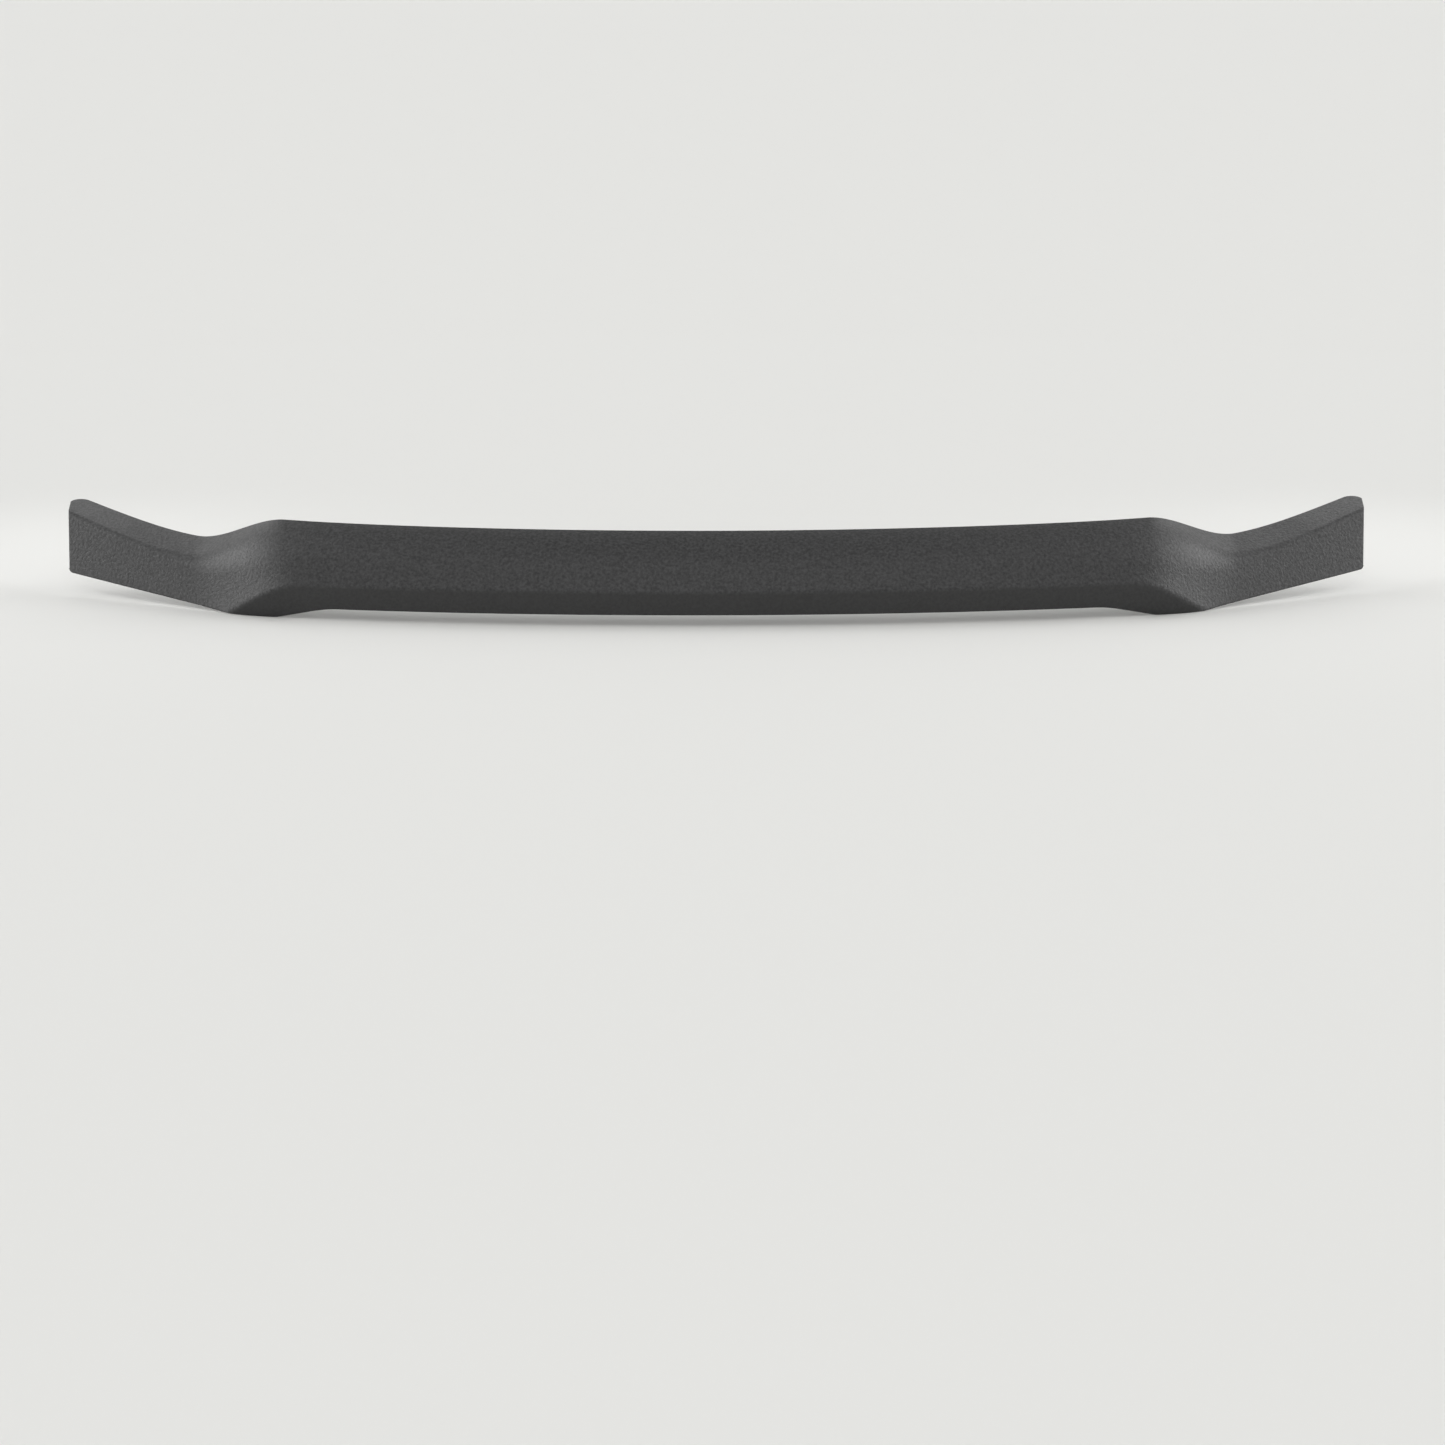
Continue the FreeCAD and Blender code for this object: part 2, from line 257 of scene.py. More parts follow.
class StudioSettings(bpy.types.PropertyGroup):
    """Floor, lights and camera."""
    floor_colour: FloatVectorProperty(
        name="Floor Colour", description="Pale paper floor", subtype="COLOR",
        default=linear("#E2E2E0"))
    floor_size: FloatProperty(
        name="Floor Size", description="Side of the floor", default=60.0, unit="LENGTH")
    ceiling_light: FloatProperty(
        name="Ceiling Light", description="Light of the ceiling, as a share of the pale walls",
        default=0.42)
    front_light: FloatProperty(
        name="Front Light", description="Light from high in front", default=0.27)
    ridge_light: FloatProperty(
        name="Ridge Light", description="Light from high over each side, for the wing's ridge",
        default=0.25)
    side_light: FloatProperty(
        name="Side Light", description="Light from each side", default=1.78)
    light_spread: FloatProperty(
        name="Light Spread", description="Width of the patch that each light comes from",
        default=math.radians(40), subtype="ANGLE")
    wing_light: FloatProperty(
        name="Wing Light", description="Power of the small softbox above each wing's end",
        default=0.26, unit="POWER")
    camera_back: FloatProperty(
        name="Camera Back", description="Camera's distance ahead of the frame's origin",
        default=4.598, unit="LENGTH")
    camera_height: FloatProperty(
        name="Camera Height", description="Camera's height above the frame's origin",
        default=0.995, unit="LENGTH")
    camera_aside: FloatProperty(
        name="Camera Aside", description="Camera's offset from the centreline",
        default=0.0074, unit="LENGTH")
    camera_pitch: FloatProperty(
        name="Camera Pitch", description="How far the camera looks down",
        default=math.radians(15), subtype="ANGLE")
    camera_roll: FloatProperty(
        name="Camera Roll", description="Small tilt of the camera to the right",
        default=math.radians(0.14), subtype="ANGLE")
    camera_lens: FloatProperty(
        name="Camera Lens", description="Focal length in mm on a 36 mm sensor",
        default=93.8)


SETTINGS = (
    ("deflector_skin", SkinSizes),
    ("deflector_finish", FinishSettings),
    ("deflector_studio", StudioSettings),
)


def add_node(tree, kind, *values, **settings):
    """Adds a node and returns its first output. Values are links or settings of its inputs."""
    node = tree.nodes.new(kind)
    for key, value in settings.items():
        setattr(node, key, value)
    for socket, value in zip(node.inputs, values):
        if isinstance(value, bpy.types.NodeSocket):
            tree.links.new(value, socket)
        elif value is not None:
            socket.default_value = value
    return next((socket for socket in node.outputs if socket.enabled), None) or node


def new_group(name, inputs, outputs):
    """Geometry node group with float inputs. Returns it, its input sockets and its output node."""
    tree = bpy.data.node_groups.new(name, "GeometryNodeTree")
    for label, default in inputs:
        socket = tree.interface.new_socket(label, in_out="INPUT", socket_type="NodeSocketFloat")
        socket.default_value = default
    for label, kind in outputs:
        tree.interface.new_socket(label, in_out="OUTPUT", socket_type=kind)
    source = tree.nodes.new("NodeGroupInput")
    sockets = {socket.name: socket for socket in source.outputs}
    return tree, sockets, tree.nodes.new("NodeGroupOutput")


def soft_ramp_group():
    """0 on the centreline, then a slope of 1 past Start, with a rounded turn."""
    inputs = (("Distance", 0.0), ("Start", 0.0), ("Softness", 0.1))
    tree, at, out = new_group("Soft Ramp", inputs, (("Ramp", "NodeSocketFloat"),))
    math_node = "ShaderNodeMath"
    softness_squared = add_node(
        tree, math_node, at["Softness"], at["Softness"], operation="MULTIPLY")
    past = add_node(tree, math_node, at["Distance"], at["Start"], operation="SUBTRACT")
    reach = add_node(tree, math_node, past, past, softness_squared, operation="MULTIPLY_ADD")
    reach = add_node(tree, math_node, reach, operation="SQRT")
    here = add_node(tree, math_node, past, reach, operation="ADD")
    base = add_node(
        tree, math_node, at["Start"], at["Start"], softness_squared, operation="MULTIPLY_ADD")
    base = add_node(tree, math_node, base, operation="SQRT")
    base = add_node(tree, math_node, base, at["Start"], operation="SUBTRACT")
    twice = add_node(tree, math_node, here, base, operation="SUBTRACT")
    ramp = add_node(tree, math_node, twice, 0.5, operation="MULTIPLY")
    tree.links.new(ramp, out.inputs["Ramp"])
    return tree


def eased_run_group():
    """Distance travelled past Start, eased over a bend that reaches Ease to each side."""
    inputs = (("Distance", 0.0), ("Start", 0.0), ("Ease", 0.01))
    tree, at, out = new_group("Eased Run", inputs, (("Run", "NodeSocketFloat"),))
    math_node = "ShaderNodeMath"
    past = add_node(tree, math_node, at["Distance"], at["Start"], operation="SUBTRACT")
    into = add_node(tree, math_node, past, at["Ease"], operation="ADD")
    length = add_node(tree, math_node, at["Ease"], 2.0, operation="MULTIPLY")
    share = add_node(tree, math_node, into, length, operation="DIVIDE", use_clamp=True)
    squared = add_node(tree, math_node, share, share, operation="MULTIPLY")
    beyond = add_node(tree, math_node, past, at["Ease"], operation="SUBTRACT")
    beyond = add_node(tree, math_node, beyond, 0.0, operation="MAXIMUM")
    run = add_node(tree, math_node, squared, at["Ease"], beyond, operation="MULTIPLY_ADD")
    tree.links.new(run, out.inputs["Run"])
    return tree


def corner_ease_group():
    """Half length of the bend that rounds the corner between two directions.

    The bend is a parabola that passes where an arc of the radius would pass.
    """
    inputs = (("Cosine", 1.0), ("Radius", 0.01))
    tree, at, out = new_group("Corner Ease", inputs, (("Ease", "NodeSocketFloat"),))
    math_node = "ShaderNodeMath"
    cosine_squared = add_node(
        tree, math_node, at["Cosine"], 0.5, 0.5, operation="MULTIPLY_ADD")
    sine_squared = add_node(tree, math_node, 1.0, cosine_squared, operation="SUBTRACT")
    half_cosine = add_node(tree, math_node, cosine_squared, operation="SQRT")
    half_sine = add_node(tree, math_node, sine_squared, operation="SQRT")
    divisor = add_node(tree, math_node, half_cosine, cosine_squared, operation="ADD")
    share = add_node(tree, math_node, half_sine, divisor, operation="DIVIDE")
    ease = add_node(tree, math_node, share, at["Radius"], operation="MULTIPLY")
    ease = add_node(tree, math_node, ease, 2.0, operation="MULTIPLY")
    tree.links.new(ease, out.inputs["Ease"])
    return tree


def corner_trim_group():
    """Trim of an edge that rounds the outline's corner at End, along a superellipse."""
    inputs = (("Distance", 0.0), ("End", 1.0), ("Width", 0.01), ("Height", 0.01),
              ("Power", 2.0))
    tree, at, out = new_group("Corner Trim", inputs, (("Trim", "NodeSocketFloat"),))
    math_node = "ShaderNodeMath"
    start = add_node(tree, math_node, at["End"], at["Width"], operation="SUBTRACT")
    past = add_node(tree, math_node, at["Distance"], start, operation="SUBTRACT")
    share = add_node(tree, math_node, past, at["Width"], operation="DIVIDE", use_clamp=True)
    share = add_node(tree, math_node, share, at["Power"], operation="POWER")
    level = add_node(tree, math_node, 1.0, share, operation="SUBTRACT", use_clamp=True)
    root = add_node(tree, math_node, 1.0, at["Power"], operation="DIVIDE")
    level = add_node(tree, math_node, level, root, operation="POWER")
    level = add_node(tree, math_node, 1.0, level, operation="SUBTRACT")
    trim = add_node(tree, math_node, level, at["Height"], operation="MULTIPLY")
    tree.links.new(trim, out.inputs["Trim"])
    return tree


def edge_spacing_group():
    """Place of a mesh row or column. They close up across the rounded edges at both ends."""
    inputs = (("Index", 0.0), ("Last", 10.0), ("Edge Steps", 4.0), ("Edge", 0.001),
              ("Length", 0.1), ("End Density", 0.0))
    outputs = (("Place", "NodeSocketFloat"), ("Edge Share", "NodeSocketFloat"))
    tree, at, out = new_group("Edge Spacing", inputs, outputs)
    math_node = "ShaderNodeMath"
    quarter_turn = math.pi / 2
    from_end = add_node(tree, math_node, at["Last"], at["Index"], operation="SUBTRACT")
    rises = []
    for index in (at["Index"], from_end):
        step = add_node(
            tree, math_node, index, at["Edge Steps"], operation="DIVIDE", use_clamp=True)
        angle = add_node(tree, math_node, step, quarter_turn, operation="MULTIPLY")
        rises.append(add_node(tree, math_node, angle, operation="COSINE"))
    span = add_node(tree, math_node, at["Edge Steps"], -2.0, at["Last"],
                    operation="MULTIPLY_ADD")
    middle = add_node(tree, math_node, at["Index"], at["Edge Steps"], operation="SUBTRACT")
    middle = add_node(tree, math_node, middle, span, operation="DIVIDE", use_clamp=True)
    centred = add_node(tree, math_node, middle, 2.0, -1.0, operation="MULTIPLY_ADD")
    bent = add_node(tree, math_node, centred, quarter_turn, operation="MULTIPLY")
    bent = add_node(tree, math_node, bent, operation="SINE")
    mixed = add_node(
        tree, "ShaderNodeMapRange", at["End Density"], 0.0, 1.0, centred, bent)
    middle = add_node(tree, math_node, mixed, 0.5, 0.5, operation="MULTIPLY_ADD")
    inner = add_node(tree, math_node, at["Edge"], -2.0, at["Length"], operation="MULTIPLY_ADD")
    place = add_node(tree, math_node, middle, inner, at["Edge"], operation="MULTIPLY_ADD")
    change = add_node(tree, math_node, rises[1], rises[0], operation="SUBTRACT")
    place = add_node(tree, math_node, change, at["Edge"], place, operation="MULTIPLY_ADD")
    share = add_node(tree, math_node, rises[0], rises[1], operation="ADD")
    tree.links.new(place, out.inputs["Place"])
    tree.links.new(share, out.inputs["Edge Share"])
    return tree


def size_inputs():
    """Name and default of every size of the skin, for the groups' inputs."""
    properties = [SkinSizes.bl_rna.properties[key] for key in SkinSizes.__annotations__]
    return [(prop.name, float(prop.default)) for prop in properties]


def use_group(tree, group, *values, **links):
    """Adds a group node. Links name the sockets that are joined to inputs of the same name."""
    node = add_node(tree, "GeometryNodeGroup", node_tree=group)
    node = node.node if isinstance(node, bpy.types.NodeSocket) else node
    for socket, value in zip(node.inputs, values):
        if isinstance(value, bpy.types.NodeSocket):
            tree.links.new(value, socket)
        else:
            socket.default_value = value
    for name, socket in links.items():
        tree.links.new(socket, node.inputs[name])
    return node.outputs


def section_group():
    """Point of the face at X, a distance Along the section down from the top edge.

    The section runs through top edge, brow, nose and chin, with its corners rounded.
    """
    inputs = [("X", 0.0), ("Along", 0.0)] + size_inputs()
    outputs = (
        ("Position", "NodeSocketVector"),
        ("Upper Trim", "NodeSocketFloat"),
        ("Lower Trim", "NodeSocketFloat"),
        ("Lower Edge", "NodeSocketFloat"),
        ("Fall", "NodeSocketFloat"),
        ("Chin", "NodeSocketFloat"),
    )
    tree, at, out = new_group("Deflector Section", inputs, outputs)
    ramp, eased = soft_ramp_group(), eased_run_group()
    corner, trim = corner_ease_group(), corner_trim_group()
    math_node, vector_node, range_node = (
        "ShaderNodeMath", "ShaderNodeVectorMath", "ShaderNodeMapRange")
    away = add_node(tree, math_node, at["X"], operation="ABSOLUTE")

    # Front in plan: a bowed centre and swept wings
    away_squared = add_node(tree, math_node, away, away, operation="MULTIPLY")
    radius_squared = add_node(
        tree, math_node, at["Bow Radius"], at["Bow Radius"], operation="MULTIPLY")
    bow = add_node(tree, math_node, radius_squared, away_squared, operation="SUBTRACT")
    bow = add_node(tree, math_node, bow, operation="SQRT")
    bow = add_node(tree, math_node, at["Bow Radius"], bow, operation="SUBTRACT")
    sweep = use_group(tree, ramp, away, at["Sweep Start"], at["Sweep Softness"])[0]
    front = add_node(tree, math_node, sweep, at["Sweep Slope"], bow, operation="MULTIPLY_ADD")

    # Heights of top edge and brow: dome, valley and wing
    valley_end = add_node(
        tree, math_node, at["Valley Start"], at["Valley Width"], operation="ADD")
    valley = add_node(tree, range_node, away, at["Valley Start"], valley_end, 0.0, 1.0,
                      interpolation_type="SMOOTHSTEP")
    shoulder = add_node(
        tree, math_node, away, at["Valley Start"], operation="DIVIDE", use_clamp=True)
    shoulder = add_node(tree, math_node, shoulder, shoulder, operation="MULTIPLY")
    shoulder = add_node(tree, math_node, shoulder, at["Shoulder Rise"], operation="MULTIPLY")
    climb = use_group(tree, ramp, away, at["Wing Rise Start"], at["Wing Rise Softness"])[0]
    heights = []
    for height, drop, slope in (("Top Height", "Valley Drop at Top", "Wing Slope at Top"),
                                ("Brow Height", "Valley Drop at Brow", "Wing Slope at Ridge")):
        level = add_node(tree, math_node, at[height], shoulder, operation="ADD")
        fall = add_node(tree, math_node, valley, at[drop], operation="MULTIPLY")
        level = add_node(tree, math_node, level, fall, operation="SUBTRACT")
        heights.append(add_node(
            tree, math_node, climb, at[slope], level, operation="MULTIPLY_ADD"))
    top_z, brow_z = heights

    # Top edge, brow and nose
    top_y = add_node(tree, math_node, front, at["Plan Depth"], operation="ADD")
    setback = add_node(
        tree, range_node, valley, 0.0, 1.0, at["Brow Setback"], at["Ridge Setback"])
    brow_y = add_node(tree, math_node, front, setback, operation="ADD")
    runout_end = add_node(
        tree, math_node, at["Runout Start"], at["Runout Width"], operation="ADD")
    runout = add_node(tree, range_node, away, at["Runout Start"], runout_end, 0.0,
                      at["Runout Drop"], interpolation_type="SMOOTHSTEP")
    nose_z = add_node(tree, math_node, at["Nose Height"], runout, operation="SUBTRACT")
    lean = add_node(tree, math_node, at["Wing Lean"], operation="TANGENT")
    under_brow = add_node(tree, math_node, nose_z, brow_z, operation="SUBTRACT")
    wing_y = add_node(tree, math_node, under_brow, lean, brow_y, operation="MULTIPLY_ADD")
    nose_y = add_node(tree, range_node, valley, 0.0, 1.0, front, wing_y)
    top = add_node(tree, "ShaderNodeCombineXYZ", at["X"], top_y, top_z)
    brow = add_node(tree, "ShaderNodeCombineXYZ", at["X"], brow_y, brow_z)
    nose = add_node(tree, "ShaderNodeCombineXYZ", at["X"], nose_y, nose_z)
    chin_down = add_node(tree, math_node, at["Nose Height"], -1.0, operation="MULTIPLY")
    chin = add_node(tree, "ShaderNodeCombineXYZ", 0.0, at["Chin Lean"], chin_down)

    # Directions and lengths of the section's runs
    band = add_node(tree, vector_node, brow, top, operation="SUBTRACT")
    fascia = add_node(tree, vector_node, nose, brow, operation="SUBTRACT")
    band_way = add_node(tree, vector_node, band, operation="NORMALIZE")
    fascia_way = add_node(tree, vector_node, fascia, operation="NORMALIZE")
    chin_way = add_node(tree, vector_node, chin, operation="NORMALIZE")
    to_brow = add_node(tree, vector_node, top, brow, operation="DISTANCE")
    to_nose = add_node(tree, vector_node, brow, nose, operation="DISTANCE")
    to_nose = add_node(tree, math_node, to_brow, to_nose, operation="ADD")

    # Radii of brow and nose
    brow_radius = add_node(
        tree, range_node, valley, 0.0, 1.0, at["Brow Radius"], at["Valley Brow Radius"])
    ridge_end = add_node(
        tree, math_node, at["Ridge Start"], at["Ridge Blend"], operation="ADD")
    tightening = add_node(
        tree, math_node, at["Ridge Radius"], at["Valley Brow Radius"], operation="SUBTRACT")
    tightened = add_node(tree, range_node, away, at["Ridge Start"], ridge_end, 0.0, tightening,
                         interpolation_type="SMOOTHSTEP")
    brow_radius = add_node(tree, math_node, brow_radius, tightened, operation="ADD")
    nose_radius = add_node(
        tree, range_node, away, at["Runout Start"], runout_end, at["Nose Radius"],
        at["Flank Nose Radius"], interpolation_type="SMOOTHSTEP")
    brow_cosine = add_node(tree, vector_node, band_way, fascia_way, operation="DOT_PRODUCT")
    nose_cosine = add_node(tree, vector_node, fascia_way, chin_way, operation="DOT_PRODUCT")
    brow_ease = use_group(tree, corner, brow_cosine, brow_radius)[0]
    nose_ease = use_group(tree, corner, nose_cosine, nose_radius)[0]

    # Walk down the rounded section
    past_brow = use_group(tree, eased, at["Along"], to_brow, brow_ease)[0]
    past_nose = use_group(tree, eased, at["Along"], to_nose, nose_ease)[0]
    on_band = add_node(tree, math_node, at["Along"], past_brow, operation="SUBTRACT")
    on_fascia = add_node(tree, math_node, past_brow, past_nose, operation="SUBTRACT")
    point = add_node(tree, vector_node, band_way, on_band, top, operation="MULTIPLY_ADD")
    point = add_node(tree, vector_node, fascia_way, on_fascia, point, operation="MULTIPLY_ADD")
    point = add_node(tree, vector_node, chin_way, past_nose, point, operation="MULTIPLY_ADD")

    # Lower edge: level, the dip of the notch, and the climb along the wing
    dip_start = use_group(tree, eased, away, at["Notch Start"], at["Notch Start Ease"])[0]
    dip_end = use_group(tree, eased, away, at["Notch End"], at["Notch End Ease"])[0]
    wing = use_group(tree, eased, away, at["Wing Turn"], at["Wing Turn Ease"])[0]
    dip_run = add_node(tree, math_node, dip_start, dip_end, operation="SUBTRACT")
    dip_length = add_node(tree, math_node, at["Notch End"], at["Notch Start"],
                          operation="SUBTRACT")
    dip = add_node(tree, math_node, dip_run, dip_length, operation="DIVIDE")
    dip = add_node(tree, math_node, dip, at["Notch Depth"], operation="MULTIPLY")
    foot_end = add_node(tree, math_node, at["Half Width"], at["End Lean"], operation="SUBTRACT")
    foot = use_group(tree, trim, away, foot_end, at["Foot Corner"], at["Foot Corner"], 2.0)[0]
    lower = add_node(tree, math_node, foot, dip, operation="SUBTRACT")
    lower = add_node(tree, math_node, wing, at["Wing Edge Slope"], lower,
                     operation="MULTIPLY_ADD")

    # Where the unrounded section meets the lower edge, on the chin or on the fascia
    fascia_fall = add_node(tree, "ShaderNodeSeparateXYZ", fascia_way).node.outputs[2]
    chin_fall = add_node(tree, "ShaderNodeSeparateXYZ", chin_way).node.outputs[2]
    above_edge = add_node(tree, math_node, lower, nose_z, operation="SUBTRACT")
    on_chin = add_node(tree, math_node, above_edge, 0.0, operation="MINIMUM")
    on_chin = add_node(tree, math_node, on_chin, chin_fall, operation="DIVIDE")
    short_of_nose = add_node(tree, math_node, above_edge, 0.0, operation="MAXIMUM")
    short_of_nose = add_node(tree, math_node, short_of_nose, fascia_fall, operation="DIVIDE")
    lower_trim = add_node(tree, math_node, to_nose, on_chin, operation="ADD")
    lower_trim = add_node(tree, math_node, lower_trim, short_of_nose, operation="ADD")
    curve_end = add_node(tree, math_node, at["Half Width"], at["Top Corner Overrun"],
                         operation="ADD")
    upper_trim = use_group(tree, trim, away, curve_end, at["Top Corner Width"],
                           at["Top Corner Drop"], at["Top Corner Power"])[0]

    # 0 above the crease and 1 below it, for the finish: painted shade and a weaker grain on the
    # chin
    chin_share = add_node(tree, math_node, past_nose, nose_ease, operation="DIVIDE",
                          use_clamp=True)

    results = (point, upper_trim, lower_trim, lower, fascia_fall, chin_share)
    for socket, result in zip(out.inputs, results):
        tree.links.new(result, socket)
    return tree


def skin_tree(material):
    """The moulded skin: a trimmed face, a back sheet under it, and rounded edges between."""
    tree, at, out = new_group("Moulded Skin", size_inputs(), (("Mesh", "NodeSocketGeometry"),))
    section, spacing = section_group(), edge_spacing_group()
    math_node, vector_node = "ShaderNodeMath", "ShaderNodeVectorMath"
    sizes = {name: socket for name, socket in at.items() if name}

    # A unit grid, with its columns across and its rows from top edge to lower edge
    grid = add_node(
        tree, "GeometryNodeMeshGrid", 1.0, 1.0, at["Columns"], at["Rows"])
    place = add_node(tree, "GeometryNodeInputPosition")
    place = add_node(tree, "ShaderNodeSeparateXYZ", place).node.outputs
    last_column = add_node(tree, math_node, at["Columns"], 1.0, operation="SUBTRACT")
    last_row = add_node(tree, math_node, at["Rows"], 1.0, operation="SUBTRACT")
    across = add_node(tree, math_node, place[0], 0.5, operation="ADD")
    down = add_node(tree, math_node, 0.5, place[1], operation="SUBTRACT")
    column = add_node(tree, math_node, across, last_column, operation="MULTIPLY")
    row = add_node(tree, math_node, down, last_row, operation="MULTIPLY")

    # X of each column, between ends that lean in towards the foot
    half_wall = add_node(tree, math_node, at["Wall"], 0.5, operation="MULTIPLY")
    leaned = add_node(tree, math_node, down, at["End Lean"], operation="MULTIPLY")
    end = add_node(tree, math_node, at["Half Width"], leaned, operation="SUBTRACT")
    length = add_node(tree, math_node, end, 2.0, operation="MULTIPLY")
    columns = use_group(tree, spacing, column, last_column, at["Rim Rows"], half_wall, length,
                        at["End Density"])
    x = add_node(tree, math_node, columns["Place"], end, operation="SUBTRACT")

    # The section is trimmed where it reaches the lower edge, found in one corrected step
    rough = use_group(tree, section, x, 0.0, **sizes)
    check = use_group(tree, section, x, rough["Lower Trim"], **sizes)
    height = add_node(tree, "ShaderNodeSeparateXYZ", check["Position"]).node.outputs[2]
    miss = add_node(tree, math_node, rough["Lower Edge"], height, operation="SUBTRACT")
    miss = add_node(tree, math_node, miss, rough["Fall"], operation="DIVIDE")
    lower_trim = add_node(tree, math_node, rough["Lower Trim"], miss, operation="ADD")
    run = add_node(tree, math_node, lower_trim, rough["Upper Trim"], operation="SUBTRACT")
    rows = use_group(tree, spacing, row, last_row, at["Rim Rows"], half_wall, run, 0.0)
    along = add_node(tree, math_node, rough["Upper Trim"], rows["Place"], operation="ADD")
    face_section = use_group(tree, section, x, along, **sizes)

    # Depth of the rounded edge: a superellipse over the last half wall on every side
    power = at["Edge Squareness"]
    share = add_node(tree, math_node, rows["Edge Share"], columns["Edge Share"],
                     operation="MAXIMUM")
    share = add_node(tree, math_node, share, power, operation="POWER")
    level = add_node(tree, math_node, 1.0, share, operation="SUBTRACT", use_clamp=True)
    root = add_node(tree, math_node, 1.0, power, operation="DIVIDE")
    level = add_node(tree, math_node, level, root, operation="POWER")
    edge = add_node(tree, math_node, 1.0, level, operation="SUBTRACT")
    marked = add_node(tree, "GeometryNodeStoreNamedAttribute", grid, None, "edge", edge,
                      data_type="FLOAT", domain="POINT")
    marked = add_node(tree, "GeometryNodeStoreNamedAttribute", marked, None, "chin",
                      face_section["Chin"], data_type="FLOAT", domain="POINT")
    face = add_node(tree, "GeometryNodeSetPosition", marked, None, face_section["Position"])

    # Face and back sheets meet at the middle of the wall all round
    edge = add_node(tree, "GeometryNodeInputNamedAttribute", "edge", data_type="FLOAT")
    normal = add_node(tree, "GeometryNodeInputNormal")
    face_depth = add_node(tree, math_node, edge, half_wall, operation="MULTIPLY")
    back_depth = add_node(tree, math_node, at["Wall"], face_depth, operation="SUBTRACT")
    sheets = []
    for depth, is_back in ((face_depth, 0.0), (back_depth, 1.0)):
        inward = add_node(tree, math_node, depth, -1.0, operation="MULTIPLY")
        offset = add_node(tree, vector_node, normal, inward, operation="MULTIPLY")
        sheet = add_node(tree, "GeometryNodeSetPosition", face, None, None, offset)
        sheets.append(add_node(tree, "GeometryNodeStoreNamedAttribute", sheet, None, "back",
                               is_back, data_type="FLOAT", domain="POINT"))
    sheets[1] = add_node(tree, "GeometryNodeFlipFaces", sheets[1])
    joined = add_node(tree, "GeometryNodeJoinGeometry")
    for sheet in sheets:
        tree.links.new(sheet, joined.node.inputs[0])
    merged = add_node(tree, "GeometryNodeMergeByDistance", joined, None, SEAM)

    # From the crease at the centre to the frame's origin on the bonding face
    lowered = add_node(tree, math_node, at["Notch Depth"], skin_low.z, operation="ADD")
    forward = add_node(tree, math_node, at["Bond Setback"], -1.0, operation="MULTIPLY")
    shift = add_node(tree, "ShaderNodeCombineXYZ", 0.0, forward, lowered)
    placed = add_node(tree, "GeometryNodeSetPosition", merged, None, None, shift)
    smooth = add_node(tree, "GeometryNodeSetShadeSmooth", placed)
    real = add_node(tree, "GeometryNodeRealizeInstances", smooth)
    finished = add_node(tree, "GeometryNodeSetMaterial", real, None, material)
    tree.links.new(finished, out.inputs["Mesh"])
    return tree


def grown_mesh(name, tree, values):
    """Plain object from a geometry node tree, with the tree's inputs set by name."""
    holder = bpy.data.objects.new(name, bpy.data.meshes.new(name))
    bpy.context.scene.collection.objects.link(holder)
    modifier = holder.modifiers.new(tree.name, "NODES")
    modifier.node_group = tree
    for item in tree.interface.items_tree:
        if item.in_out == "INPUT" and item.name in values:
            modifier[item.identifier] = values[item.name]
    graph = bpy.context.evaluated_depsgraph_get()
    mesh = bpy.data.meshes.new_from_object(holder.evaluated_get(graph))
    mesh.name = name
    holder.modifiers.clear()
    holder.data = mesh
    return holder


def new_material(name):
    """Empty material. Returns it, its tree and its output node."""
    material = bpy.data.materials.new(name)
    material.use_nodes = True
    material.node_tree.nodes.clear()
    return material, material.node_tree, material.node_tree.nodes.new("ShaderNodeOutputMaterial")


